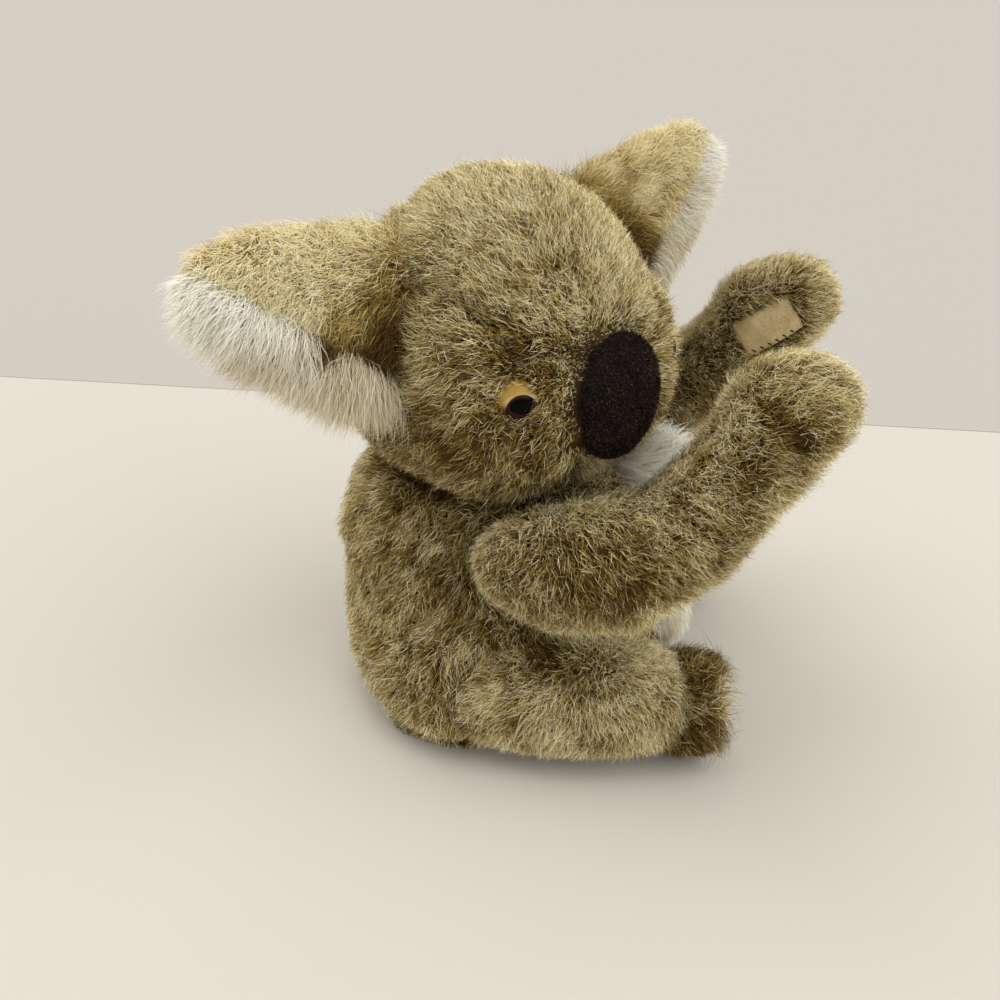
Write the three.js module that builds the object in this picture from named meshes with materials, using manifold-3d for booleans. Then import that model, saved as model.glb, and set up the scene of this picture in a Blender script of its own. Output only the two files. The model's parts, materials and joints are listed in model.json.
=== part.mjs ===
// A seated plush koala with its head turned to its right, raised arms and short legs.
// Millimetres. +Z is up, the koala faces -Y, its right side is at -X and it sits on Z = 0.
import * as THREE from 'three';
import { mergeVertices } from 'three/addons/utils/BufferGeometryUtils.js';
import Module from 'manifold-3d';

const wasm = await Module();
wasm.setup();

// Driving sizes
const clear = 0.3; // gap between pieces that touch
const wall = 2.5; // plush fabric, with its backing and the roots of its pile
const overrun = 400; // how far a cutting block reaches past what it cuts

const torso = { width: 132, depth: 136, neckHeight: 103, seatSeamHeight: 6 };
const bellyPanel = { width: 62, height: 100, middleHeight: 60, frontDepth: 20 };
const head = { width: 106, depth: 108, height: 110, rise: 53 };
const headTurn = THREE.MathUtils.degToRad(-45);
const gusset = { noseWidth: 26, earWidth: 92, napeWidth: 36, seamHeight: 6, napeStart: 22 };
const chinPanel = { width: 18, depth: 36, drop: 30 };
const nose = { width: 36, height: 46, thickness: 21, sunk: 4.6, drop: 10, wall: 1.6 };
const eye = {
  diameter: 14, domeHeight: 3.8, rimHeight: 0.8, sunk: 1.6, stemDiameter: 4.5, stemLength: 13,
  sideAngle: 35, drop: 4.5, washerDiameter: 14, washerThickness: 1.4,
};
const ear = { root: 34, rootHeight: 10, width: 57, thickness: 18, seamDrop: 25, seamRise: 6 };
const earReach = { right: 86, left: 79 };
const earRise = { right: 26, left: 36 };
const shoulder = { spread: 47, drop: 16, forward: 22, seatRadius: 34 };
const arm = { thickness: 52, width: 44, inset: 14.5, raise: 2, toeIn: 14 };
const armReach = { right: 97, left: 109 };
const armRise = { right: 66, left: 70 };
const pad = { length: 24, width: 15, back: 10, forwardTurn: 55 };
const hip = { spread: 54, height: 22, forward: 6 };
const leg = { length: 74, tail: 28, thickness: 52, width: 48, toeOut: 3 };
const foot = { width: 40, depth: 38, height: 38, forward: 78, spread: 52, middleHeight: 16 };
const sole = { depth: 9 };

const neckJoint = {
  discDiameter: 32, discThickness: 2.4, boltDiameter: 5, nutDiameter: 12, nutThickness: 4, boltEnd: 2,
};
const shoulderJoint = {
  discDiameter: 18, discThickness: 2, boltDiameter: 4, nutDiameter: 10, nutThickness: 3.2, boltEnd: 1.6,
};

// Forms, as shares of the sizes above: where each lobe's middle lies and its half size
const torsoLobeShares = [
  { middle: [0, 0, 0.22], half: [0.49, 0.475, 0.54] },
  { middle: [0.28, 0.1, 0.15], half: [0.27, 0.25, 0.36] },
  { middle: [-0.28, 0.1, 0.15], half: [0.27, 0.25, 0.36] },
  { middle: [0, 0.05, 0.68], half: [0.37, 0.42, 0.42] },
  { middle: [0, -0.28, 0.81], half: [0.22, 0.25, 0.23] },
  { middle: [0, -0.19, 0.33], half: [0.34, 0.38, 0.35] },
  { middle: [0.24, -0.16, 0.83], half: [0.165, 0.2, 0.2] },
  { middle: [-0.24, -0.16, 0.83], half: [0.165, 0.2, 0.2] },
];
const headLobeShares = [
  { middle: [0, 0, 0], half: [0.48, 0.48, 0.48] },
  { middle: [0, 0.08, -0.2], half: [0.5, 0.46, 0.39] },
  { middle: [0.185, -0.22, -0.13], half: [0.31, 0.31, 0.34] },
  { middle: [-0.185, -0.22, -0.13], half: [0.31, 0.31, 0.34] },
  { middle: [0, -0.39, -0.1], half: [0.25, 0.22, 0.25] },
];
// Along a limb: forward, up and in as shares of reach, rise and toe-in, then width and thickness
const armStationShares = [
  { along: [-0.25, 0, 0], girth: [0.45, 0.43] },
  { along: [0, 0, 0], girth: [0.5, 0.48] },
  { along: [0.19, 0, 0], girth: [0.5, 0.48] },
  { along: [0.4, 0.1, 0.12], girth: [0.46, 0.4] },
  { along: [0.57, 0.35, 0.4], girth: [0.39, 0.32] },
  { along: [0.71, 0.61, 0.75], girth: [0.39, 0.33] },
  { along: [0.85, 0.86, 1], girth: [0.44, 0.42] },
  { along: [1, 1, 1], girth: [0.42, 0.42] },
];
const legStationShares = [
  { along: [-1, 0, 0], girth: [0.42, 0.44] },
  { along: [0, 0, 0], girth: [0.48, 0.49] },
  { along: [0.5, 0, 0.4], girth: [0.5, 0.49] },
  { along: [1, -0.05, 1], girth: [0.45, 0.42] },
];
const earStationShares = [
  { along: [0, 0], girth: [0.5, 0.5] },
  { along: [0.35, 0.2], girth: [0.47, 0.48] },
  { along: [0.7, 0.62], girth: [0.35, 0.42] },
  { along: [1, 1], girth: [0.22, 0.34] },
];
// How the flat side of an ear leans, per unit of its height
const earLeanShares = { forward: 0.28, in: 0.36 };
const lobeSharpness = 10; // how tightly blended lobes follow the single ones
const limbEndPower = 2.6; // 2 gives round ends, more gives fuller ones
const earEndPower = 3.2;
const halvings = 24; // steps of the search for a lobed surface

// Mesh fineness
const fine = {
  bodyDetail: 3, footDetail: 1, noseDetail: 2, limbSides: 12, limbRings: 10, earSides: 12, earRings: 7,
  turnedSides: 16, domeSteps: 6,
};
const coarse = { noseDetail: 1, limbSides: 8, limbRings: 6 };

// Closed geometry to solid and back
function solidOf(geometry) {
  const bare = geometry.clone();
  bare.deleteAttribute('normal');
  bare.deleteAttribute('uv');
  const merged = mergeVertices(bare);
  return new wasm.Manifold(new wasm.Mesh({
    numProp: 3,
    vertProperties: new Float32Array(merged.attributes.position.array),
    triVerts: new Uint32Array(merged.index.array),
  }));
}

function geometryOf(solid) {
  const mesh = solid.getMesh();
  const geometry = new THREE.BufferGeometry();
  geometry.setAttribute('position', new THREE.Float32BufferAttribute(mesh.vertProperties, 3));
  geometry.setIndex([...mesh.triVerts]);
  geometry.computeVertexNormals();
  return geometry;
}

// A closed unit form whose points are each moved to their place
function placedForm(unit, place) {
  const bare = unit.clone();
  bare.deleteAttribute('normal');
  bare.deleteAttribute('uv');
  const form = mergeVertices(bare);
  const points = form.attributes.position;
  const point = new THREE.Vector3();
  for (let i = 0; i < points.count; i++) {
    point.fromBufferAttribute(points, i);
    place(point);
    points.setXYZ(i, point.x, point.y, point.z);
  }
  return solidOf(form);
}

function block(width, depth, height, x, y, z) {
  return solidOf(new THREE.BoxGeometry(width, depth, height).translate(x, y, z));
}

const below = (z) => block(overrun, overrun, overrun, 0, 0, z - overrun / 2);
const above = (z) => block(overrun, overrun, overrun, 0, 0, z + overrun / 2);
// All that lies past x on the given side, -1 or 1
const outside = (side, x) => block(overrun, overrun, overrun, side * (x + overrun / 2), 0, 0);

// Lobed forms: the torso and the head
function lobesOf(shares, size, middle) {
  return shares.map((share) => ({
    middle: new THREE.Vector3(...share.middle).multiply(size).add(middle),
    half: new THREE.Vector3(...share.half).multiply(size),
  }));
}

function blendedDistance(point, lobes, inset) {
  let sum = 0;
  for (const lobe of lobes) {
    const away = point.clone().sub(lobe.middle);
    away.divide(lobe.half.clone().subScalar(inset));
    sum += away.length() ** -lobeSharpness;
  }
  return sum ** (-1 / lobeSharpness);
}

// The surface point of the blended lobes in one direction from their centre
function lobedSurface(direction, centre, lobes, inset, reach) {
  let near = 0;
  let far = reach;
  const probe = new THREE.Vector3();
  for (let halving = 0; halving < halvings; halving++) {
    const middle = (near + far) / 2;
    probe.copy(centre).addScaledVector(direction, middle);
    if (blendedDistance(probe, lobes, inset) < 1) near = middle;
    else far = middle;
  }
  return probe;
}

// Square to the blended surface, pointing out
function lobedNormal(point, lobes) {
  const normal = new THREE.Vector3();
  for (const lobe of lobes) {
    const away = point.clone().sub(lobe.middle).divide(lobe.half);
    const weight = away.length() ** (-lobeSharpness - 2);
    normal.addScaledVector(away.divide(lobe.half), weight);
  }
  return normal.normalize();
}

function lobedForm(centre, lobes, reach, inset) {
  return placedForm(new THREE.IcosahedronGeometry(1, fine.bodyDetail), (point) => {
    point.copy(lobedSurface(point.clone().normalize(), centre, lobes, inset, reach));
  });
}

// A stuffed limb: rings of given width and thickness along a curve, with rounded ends
function limbForm(spinePoints, girths, wide, sides, rings, inset, endPower) {
  const spine = new THREE.CatmullRomCurve3(spinePoints);
  const girth = new THREE.CatmullRomCurve3(girths.map(([w, t]) => new THREE.Vector3(w, t, 0)));
  const trim = inset / spine.getLength();
  return placedForm(new THREE.SphereGeometry(1, sides, rings), (point) => {
    const share = (1 + THREE.MathUtils.clamp(point.y, -1, 1)) / 2;
    const around = Math.hypot(point.x, point.z);
    const swell = (1 - Math.abs(2 * share - 1) ** endPower) ** (1 / endPower);
    const wanted = trim + share * (1 - 2 * trim);
    const at = THREE.MathUtils.clamp(wanted, 0, 1);
    const size = girth.getPoint(at);
    const along = spine.getTangent(at);
    const across = wide.clone().addScaledVector(along, -wide.dot(along)).normalize();
    const through = across.clone().cross(along);
    const outX = around > 0 ? point.x / around : 0;
    const outZ = around > 0 ? point.z / around : 0;
    point.copy(spine.getPoint(at)).addScaledVector(along, (wanted - at) * spine.getLength());
    point.addScaledVector(across, outX * swell * (size.x - inset));
    point.addScaledVector(through, outZ * swell * (size.y - inset));
  });
}

// A turned solid about Z from its radius and height pairs, closed on the axis or on itself
function turned(profile) {
  const points = profile.map(([radius, height]) => new THREE.Vector2(radius, height));
  return solidOf(new THREE.LatheGeometry(points, fine.turnedSides).rotateX(Math.PI / 2));
}

function plainCylinder(radius, from, to) {
  return turned([[0, from], [radius, from], [radius, to], [0, to]]);
}

const ring = (inner, outer, from, to) => turned(
  [[inner, from], [outer, from], [outer, to], [inner, to], [inner, from]]);

function moved(solid, matrix) {
  return solid.transform(matrix.elements);
}

const koala = new THREE.Group();
const plushMaterials = {
  grey: { color: 0x8a7d5a, roughness: 0.95 },
  white: { color: 0xe9e4d6, roughness: 0.95 },
  dark: { color: 0x5c5138, roughness: 0.95 },
  noseBrown: { color: 0x1f1512, roughness: 0.9 },
  suede: { color: 0xb59c76, roughness: 0.85 },
  stuffing: { color: 0xf1efe9, roughness: 1 },
  eyeAmber: { color: 0x3a1f12, roughness: 0.12 },
  plastic: { color: 0xdedad2, roughness: 0.5 },
  board: { color: 0x8f6a43, roughness: 0.8 },
};

function add(name, solid, finish) {
  const material = new THREE.MeshStandardMaterial({ ...plushMaterials[finish], metalness: 0 });
  const mesh = new THREE.Mesh(geometryOf(solid), material);
  mesh.name = name;
  koala.add(mesh);
}

// A disc joint about Z: the moving part is above Z = 0 and the fixed part below
function discJoint(size, seatWall) {
  const disc = size.discDiameter / 2;
  const bolt = size.boltDiameter / 2;
  const nut = size.nutDiameter / 2;
  const movingFrom = clear / 2 + seatWall + clear;
  const movingTo = movingFrom + size.discThickness;
  const fixedFrom = -movingFrom;
  const fixedTo = fixedFrom - size.discThickness;
  const nutFrom = fixedTo - clear;
  const nutTo = nutFrom - size.nutThickness;
  const boltTo = nutTo - size.boltEnd;
  return {
    movingDisc: turned([[0, boltTo], [bolt, boltTo], [bolt, movingFrom], [disc, movingFrom],
      [disc, movingTo], [0, movingTo]]),
    fixedDisc: ring(bolt + clear, disc, fixedTo, fixedFrom),
    nut: ring(bolt + clear, nut, nutTo, nutFrom),
    movingRoom: plainCylinder(disc + clear, movingFrom - clear, movingTo + clear).add(
      plainCylinder(bolt + clear, 0, movingTo)),
    fixedRoom: plainCylinder(disc + clear, fixedTo - clear, fixedFrom + clear).add(
      plainCylinder(bolt + clear, fixedTo, 0)),
    movingPocket: plainCylinder(disc + clear, 0, movingTo + clear),
    fixedPocket: plainCylinder(disc + clear, fixedTo - clear, 0).add(
      plainCylinder(nut + clear, boltTo - clear, 0)),
  };
}

// Where each joint's Z axis points, and where its seat is
const shoulderHeight = torso.neckHeight - shoulder.drop;
const neckSeat = new THREE.Matrix4().makeTranslation(0, 0, torso.neckHeight);
function shoulderSeat(side) {
  const seat = new THREE.Matrix4().makeTranslation(
    side * shoulder.spread, -shoulder.forward, shoulderHeight);
  return seat.multiply(new THREE.Matrix4().makeRotationY(side * Math.PI / 2));
}
const sides = [{ name: 'right', side: -1 }, { name: 'left', side: 1 }];
const neck = discJoint(neckJoint, wall);
const shoulderDiscs = discJoint(shoulderJoint, wall);

// Torso
const torsoSize = new THREE.Vector3(torso.width, torso.depth, torso.neckHeight);
const torsoLobes = lobesOf(torsoLobeShares, torsoSize, new THREE.Vector3());
const torsoCentre = new THREE.Vector3(0, 0, torso.neckHeight / 2);

function torsoForm(inset) {
  let form = lobedForm(torsoCentre, torsoLobes, torso.neckHeight * 2, inset);
  form = form.subtract(below(inset)).subtract(above(torso.neckHeight - clear / 2 - inset));
  for (const { side } of sides) {
    const recess = plainCylinder(shoulder.seatRadius + inset, -clear / 2 - inset, torso.width);
    form = form.subtract(moved(recess, shoulderSeat(side)));
  }
  return form;
}

const torsoOuter = torsoForm(0);
const torsoSkin = torsoOuter.subtract(torsoForm(wall));

function bellyRegion(grow) {
  const oval = new THREE.CylinderGeometry(1, 1, 1, fine.turnedSides);
  oval.scale(bellyPanel.width / 2 + grow, torso.depth, bellyPanel.height / 2 + grow);
  oval.translate(0, -torso.depth / 2 - bellyPanel.frontDepth, bellyPanel.middleHeight);
  return solidOf(oval);
}

let torsoSides = torsoSkin.subtract(below(torso.seatSeamHeight + clear)).subtract(bellyRegion(clear));
torsoSides = torsoSides.subtract(moved(neck.fixedRoom, neckSeat));
for (const { side } of sides) {
  torsoSides = torsoSides.subtract(moved(shoulderDiscs.fixedRoom, shoulderSeat(side)));
}
let torsoStuffing = torsoForm(wall + clear).subtract(moved(neck.fixedPocket, neckSeat));
for (const { name, side } of sides) {
  add(`body_side_${name}`, torsoSides.intersect(outside(side, clear / 2)), 'grey');
  torsoStuffing = torsoStuffing.subtract(moved(shoulderDiscs.fixedPocket, shoulderSeat(side)));
}
const bellySkin = torsoSkin.intersect(bellyRegion(0));
add('body_belly_panel', bellySkin.subtract(below(torso.seatSeamHeight + clear)), 'white');
add('body_seat_panel', torsoSkin.intersect(below(torso.seatSeamHeight)), 'grey');
add('body_stuffing', torsoStuffing, 'stuffing');

// Head, modelled facing -Y about the neck's axis and then turned
const headSize = new THREE.Vector3(head.width, head.depth, head.height);
const headHeight = torso.neckHeight + head.rise;
const headCentre = new THREE.Vector3(0, 0, headHeight);
const headLobes = lobesOf(headLobeShares, headSize, headCentre);
const headPose = new THREE.Matrix4().makeRotationZ(headTurn);
const onHead = (name, solid, finish) => add(name, moved(solid, headPose), finish);

function headForm(inset) {
  const form = lobedForm(headCentre, headLobes, head.width * 2, inset);
  return form.subtract(below(torso.neckHeight + clear / 2 + inset));
}

const headOuter = headForm(0);
const headClear = headForm(-clear);
const headSkin = headOuter.subtract(headForm(wall));

// The top gusset is wide between the ears and runs down the nape as a strip
function gussetRegion(grow) {
  const outline = new THREE.Shape();
  outline.moveTo(-gusset.noseWidth / 2 - grow, -head.depth);
  outline.lineTo(gusset.noseWidth / 2 + grow, -head.depth);
  outline.lineTo(gusset.earWidth / 2 + grow, 0);
  outline.lineTo(gusset.napeWidth / 2 + grow, gusset.napeStart);
  outline.lineTo(gusset.napeWidth / 2 + grow, head.depth);
  outline.lineTo(-gusset.napeWidth / 2 - grow, head.depth);
  outline.lineTo(-gusset.napeWidth / 2 - grow, gusset.napeStart);
  outline.lineTo(-gusset.earWidth / 2 - grow, 0);
  const top = new THREE.ExtrudeGeometry(outline, { depth: head.height, bevelEnabled: false });
  top.translate(0, 0, headHeight + gusset.seamHeight - grow);
  const nape = block(gusset.napeWidth + 2 * grow, head.depth, overrun, 0,
    gusset.napeStart - grow + head.depth / 2, headHeight);
  return solidOf(top).add(nape);
}

function chinRegion(grow) {
  const top = headHeight - chinPanel.drop;
  return block(chinPanel.width + 2 * grow, head.depth, head.height, 0,
    -chinPanel.depth - head.depth / 2 + grow, top + grow - head.height / 2);
}

// The eyes sit square to the surface of the cheeks
function eyeSeat(side) {
  const angle = THREE.MathUtils.degToRad(eye.sideAngle);
  const direction = new THREE.Vector3(side * Math.sin(angle), -Math.cos(angle), 0);
  const centre = headCentre.clone().setZ(headHeight - eye.drop);
  const at = lobedSurface(direction, centre, headLobes, 0, head.width);
  const outward = lobedNormal(at, headLobes);
  const turn = new THREE.Quaternion().setFromUnitVectors(new THREE.Vector3(0, 0, 1), outward);
  return new THREE.Matrix4().compose(at, turn, new THREE.Vector3(1, 1, 1));
}

const eyeRadius = eye.diameter / 2;
const eyeStem = eye.stemDiameter / 2;
const eyeBase = -eye.sunk;
const eyeRim = eyeBase + eye.rimHeight;
function eyeSolid() {
  const profile = [[0, -eye.stemLength], [eyeStem, -eye.stemLength], [eyeStem, eyeBase],
    [eyeRadius, eyeBase], [eyeRadius, eyeRim]];
  for (let step = 1; step < fine.domeSteps; step++) {
    const angle = (step / fine.domeSteps) * Math.PI / 2;
    profile.push([eyeRadius * Math.cos(angle), eyeRim + eye.domeHeight * Math.sin(angle)]);
  }
  profile.push([0, eyeRim + eye.domeHeight]);
  return turned(profile);
}
const washerRadius = eye.washerDiameter / 2;
const washerTop = -wall - clear;
const washerBottom = washerTop - eye.washerThickness;
const eyeWasher = ring(eyeStem + clear, washerRadius, washerBottom, washerTop);
const washerPocket = plainCylinder(washerRadius + clear, washerBottom - clear, washerTop + clear);
const eyePocket = plainCylinder(eyeStem + clear, -eye.stemLength - clear, eyeBase).add(
  plainCylinder(washerRadius + clear, washerBottom - clear, 0));
const eyeHole = plainCylinder(eyeStem + clear, -eye.stemLength, eyeBase).add(
  plainCylinder(eyeRadius + clear, eyeBase - clear, eye.diameter)).add(washerPocket);

let headSides = headSkin.subtract(gussetRegion(clear)).subtract(chinRegion(clear));
let headStuffing = headForm(wall + clear).subtract(moved(neck.movingPocket, neckSeat));
const neckRoom = moved(neck.movingRoom, neckSeat);
for (const { side } of sides) {
  headSides = headSides.subtract(moved(eyeHole, eyeSeat(side)));
  headStuffing = headStuffing.subtract(moved(eyePocket, eyeSeat(side)));
}
for (const { name, side } of sides) {
  onHead(`head_side_${name}`, headSides.intersect(outside(side, clear / 2)).subtract(neckRoom), 'grey');
  onHead(`eye_${name}`, moved(eyeSolid(), eyeSeat(side)), 'eyeAmber');
  onHead(`eye_washer_${name}`, moved(eyeWasher, eyeSeat(side)), 'plastic');
}
onHead('head_gusset', headSkin.intersect(gussetRegion(0)), 'grey');
onHead('head_chin_panel', headSkin.intersect(chinRegion(0)), 'white');
onHead('head_stuffing', headStuffing, 'stuffing');

// Nose: a padded oval cover sewn round its edge onto the muzzle
const noseCentre = lobedSurface(new THREE.Vector3(0, -1, 0),
  headCentre.clone().setZ(headHeight - nose.drop), headLobes, 0, head.depth);
noseCentre.y += nose.sunk;
function noseForm(fineness, inset) {
  return placedForm(new THREE.IcosahedronGeometry(1, fineness), (point) => {
    point.normalize();
    point.set(point.x * (nose.width / 2 - inset), point.y * (nose.thickness / 2 - inset),
      point.z * (nose.height / 2 - inset));
    point.add(noseCentre);
  });
}
const noseHollow = noseForm(coarse.noseDetail, nose.wall);
const noseCover = noseForm(fine.noseDetail, 0).subtract(noseHollow).subtract(headClear);
onHead('nose_cover', noseCover, 'noseBrown');
onHead('nose_padding', noseForm(coarse.noseDetail, nose.wall + clear).subtract(headClear), 'stuffing');

// Ears: a grey back that wraps over the upper rim, and a white lining below.
// Both are made as the left ear, and mirrored for the right one.
const earWide = new THREE.Vector3(-earLeanShares.in, earLeanShares.forward, 1).normalize();
const earRoot = new THREE.Vector3(ear.root, 0, headHeight + ear.rootHeight);
const mirror = new THREE.Matrix4().makeScale(-1, 1, 1);

function earForm(name) {
  const spine = earStationShares.map(({ along: [out, up] }) => new THREE.Vector3(
    out * earReach[name], 0, up * earRise[name]).add(earRoot));
  const girths = earStationShares.map(({ girth: [w, t] }) => [w * ear.width, t * ear.thickness]);
  return limbForm(spine, girths, earWide, fine.earSides, fine.earRings, 0, earEndPower);
}

// In front of the ear's middle plane, and below the seam that falls from its tip to its root
function liningRegion(name, grow) {
  const out = new THREE.Vector3(earReach[name], 0, earRise[name]).normalize();
  const front = new THREE.Vector3().crossVectors(out, earWide).normalize();
  const up = new THREE.Vector3().crossVectors(front, out);
  const frame = new THREE.Matrix4().makeBasis(out, up, front).setPosition(earRoot);
  frame.multiply(new THREE.Matrix4().makeTranslation(0, -ear.seamDrop, 0));
  frame.multiply(new THREE.Matrix4().makeRotationZ(Math.atan2(ear.seamDrop + ear.seamRise, earReach[name])));
  return moved(block(overrun, overrun, overrun, 0, grow - overrun / 2, overrun / 2 - grow), frame);
}

for (const { name, side } of sides) {
  const onSide = (solid) => (side > 0 ? solid : moved(solid, mirror));
  const whole = onSide(earForm(name)).subtract(headClear);
  onHead(`ear_lining_${name}`, whole.intersect(onSide(liningRegion(name, 0))), 'white');
  onHead(`ear_back_${name}`, whole.subtract(onSide(liningRegion(name, clear))), 'grey');
}

// Neck joint
add('neck_disc_upper', moved(neck.movingDisc, neckSeat), 'board');
add('neck_disc_lower', moved(neck.fixedDisc, neckSeat), 'board');
add('neck_lock_nut', moved(neck.nut, neckSeat), 'plastic');

// Arms, joined to the torso by a disc joint each
const armMiddle = shoulder.spread + arm.inset;
const armHeight = shoulderHeight + arm.raise;
function armForm(name, side, sidesCount, rings, inset) {
  const spine = armStationShares.map(({ along: [out, up, inward] }) => new THREE.Vector3(
    side * (armMiddle - inward * arm.toeIn),
    -shoulder.forward - out * armReach[name],
    armHeight + up * armRise[name]));
  const girths = armStationShares.map(({ girth: [w, t] }) => [w * arm.width, t * arm.thickness]);
  const form = limbForm(spine, girths, new THREE.Vector3(1, 0, 0), sidesCount, rings, inset, limbEndPower);
  const seat = plainCylinder(shoulder.seatRadius + inset, -shoulder.spread, clear / 2 + inset);
  return form.subtract(moved(seat, shoulderSeat(side)));
}

// The palm pad: an oblong across the inner, lower face of the paw
function padRegion(name, side, grow) {
  const last = armStationShares[armStationShares.length - 2].along;
  const oblong = block(arm.width, pad.width + 2 * grow, pad.length + 2 * grow, 0, 0, 0);
  const place = new THREE.Matrix4().makeTranslation(
    side * (armMiddle - arm.toeIn - arm.width / 2),
    -shoulder.forward - last[0] * armReach[name],
    armHeight + last[1] * armRise[name]);
  place.multiply(new THREE.Matrix4().makeRotationX(THREE.MathUtils.degToRad(pad.forwardTurn)));
  place.multiply(new THREE.Matrix4().makeTranslation(0, 0, -pad.back));
  return moved(oblong, place);
}

for (const { name, side } of sides) {
  const seat = shoulderSeat(side);
  const hollow = armForm(name, side, coarse.limbSides, fine.limbRings, wall);
  const skin = armForm(name, side, fine.limbSides, fine.limbRings, 0).subtract(hollow).subtract(
    moved(shoulderDiscs.movingRoom, seat));
  const outerHalf = outside(side, armMiddle - arm.toeIn / 2);
  const innerHalf = outside(-side, -(armMiddle - arm.toeIn / 2 - clear));
  add(`arm_outer_${name}`, skin.intersect(outerHalf), 'grey');
  add(`arm_inner_${name}`, skin.intersect(innerHalf).subtract(padRegion(name, side, clear)), 'grey');
  add(`paw_pad_${name}`, skin.intersect(innerHalf).intersect(padRegion(name, side, 0)), 'suede');
  add(`arm_stuffing_${name}`, armForm(name, side, coarse.limbSides, fine.limbRings, wall + clear).subtract(
    moved(shoulderDiscs.movingPocket, seat)), 'stuffing');
  add(`shoulder_disc_outer_${name}`, moved(shoulderDiscs.movingDisc, seat), 'board');
  add(`shoulder_disc_inner_${name}`, moved(shoulderDiscs.fixedDisc, seat), 'board');
  add(`shoulder_lock_nut_${name}`, moved(shoulderDiscs.nut, seat), 'plastic');
}

// Legs, sewn to the torso's sides
function legForm(side, sidesCount, rings, inset) {
  const spine = legStationShares.map(({ along: [out, up, outward] }) => new THREE.Vector3(
    side * (hip.spread + outward * leg.toeOut),
    -hip.forward - (out < 0 ? out * leg.tail : out * leg.length),
    hip.height + up * leg.thickness));
  const girths = legStationShares.map(({ girth: [w, t] }) => [w * leg.width, t * leg.thickness]);
  const form = limbForm(spine, girths, new THREE.Vector3(1, 0, 0), sidesCount, rings, inset, limbEndPower);
  return form.subtract(below(inset));
}

function footForm(side, inset) {
  return placedForm(new THREE.IcosahedronGeometry(1, fine.footDetail), (point) => {
    point.normalize();
    point.set(point.x * (foot.width / 2 - inset), point.y * (foot.depth / 2 - inset),
      point.z * (foot.height / 2 - inset));
    point.add(new THREE.Vector3(side * foot.spread, -foot.forward, foot.middleHeight));
  }).subtract(below(inset));
}

const torsoClear = torsoForm(-clear).add(torsoOuter);
for (const { name, side } of sides) {
  const legOuter = legForm(side, fine.limbSides, fine.limbRings, 0);
  const legClear = legForm(side, fine.limbSides, fine.limbRings, -clear);
  const hollow = legForm(side, coarse.limbSides, coarse.limbRings, wall);
  const skin = legOuter.subtract(hollow).subtract(torsoClear);
  add(`leg_outer_${name}`, skin.intersect(outside(side, hip.spread + clear)), 'grey');
  add(`leg_inner_${name}`, skin.subtract(outside(side, hip.spread)), 'grey');
  add(`leg_stuffing_${name}`, legForm(side, coarse.limbSides, coarse.limbRings, wall + clear).subtract(
    torsoClear), 'stuffing');
  const footSkin = footForm(side, 0).subtract(footForm(side, wall)).subtract(legClear);
  const soleRegion = block(overrun, overrun, overrun, 0,
    -foot.forward - foot.depth / 2 + sole.depth - overrun / 2, 0);
  const soleGap = block(overrun, overrun, overrun, 0,
    -foot.forward - foot.depth / 2 + sole.depth + clear - overrun / 2, 0);
  add(`foot_cover_${name}`, footSkin.subtract(soleGap), 'dark');
  add(`foot_sole_${name}`, footSkin.intersect(soleRegion), 'suede');
  add(`foot_stuffing_${name}`, footForm(side, wall + clear).subtract(legClear), 'stuffing');
}

export default koala;
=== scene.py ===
import json
import math

import bpy
import numpy as np
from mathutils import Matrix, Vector, noise
from mathutils.bvhtree import BVHTree
from mathutils.kdtree import KDTree

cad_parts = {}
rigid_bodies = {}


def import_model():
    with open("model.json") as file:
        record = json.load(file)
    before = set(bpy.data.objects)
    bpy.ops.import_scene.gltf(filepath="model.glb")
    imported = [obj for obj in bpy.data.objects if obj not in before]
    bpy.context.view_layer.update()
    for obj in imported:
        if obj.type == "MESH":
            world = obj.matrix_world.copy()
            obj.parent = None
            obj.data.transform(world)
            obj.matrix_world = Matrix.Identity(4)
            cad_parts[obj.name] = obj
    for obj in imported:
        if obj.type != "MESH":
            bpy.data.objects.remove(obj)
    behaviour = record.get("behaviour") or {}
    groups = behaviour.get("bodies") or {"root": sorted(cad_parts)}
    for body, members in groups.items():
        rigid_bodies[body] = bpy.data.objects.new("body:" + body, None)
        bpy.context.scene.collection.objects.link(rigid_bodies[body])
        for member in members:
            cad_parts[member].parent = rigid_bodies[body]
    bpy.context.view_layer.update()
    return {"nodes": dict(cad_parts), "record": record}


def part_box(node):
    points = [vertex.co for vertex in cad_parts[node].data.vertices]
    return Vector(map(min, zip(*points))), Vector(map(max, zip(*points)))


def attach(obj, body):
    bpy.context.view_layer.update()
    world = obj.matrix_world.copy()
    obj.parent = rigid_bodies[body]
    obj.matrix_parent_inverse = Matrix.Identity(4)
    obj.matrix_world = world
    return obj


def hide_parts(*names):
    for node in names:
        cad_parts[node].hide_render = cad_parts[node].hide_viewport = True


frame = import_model()

mm = 0.001
right, left = "right", "left"
bodies = frame["record"]["behaviour"]["bodies"]


# Objects, meshes and sums

def pickNone():
    if bpy.context.mode != "OBJECT":
        bpy.ops.object.mode_set(mode="OBJECT")
    bpy.ops.object.select_all(action="DESELECT")


def pick(*objects):
    pickNone()
    for each in objects:
        each.select_set(True)
    bpy.context.view_layer.objects.active = objects[0]


def addObject(name, data):
    made = bpy.data.objects.new(name, data)
    bpy.context.collection.objects.link(made)
    return made


def applyModifier(piece, kind, **settings):
    pick(piece)
    modifier = piece.modifiers.new(kind.title(), kind)
    for name, value in settings.items():
        setattr(modifier, name, value)
    bpy.ops.object.modifier_apply(modifier=modifier.name)


def vectorsOf(items, name):
    flat = np.empty(len(items) * 3)
    items.foreach_get(name, flat)
    return flat.reshape(-1, 3)


def pointsOf(mesh):
    return vectorsOf(mesh.vertices, "co")


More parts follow.
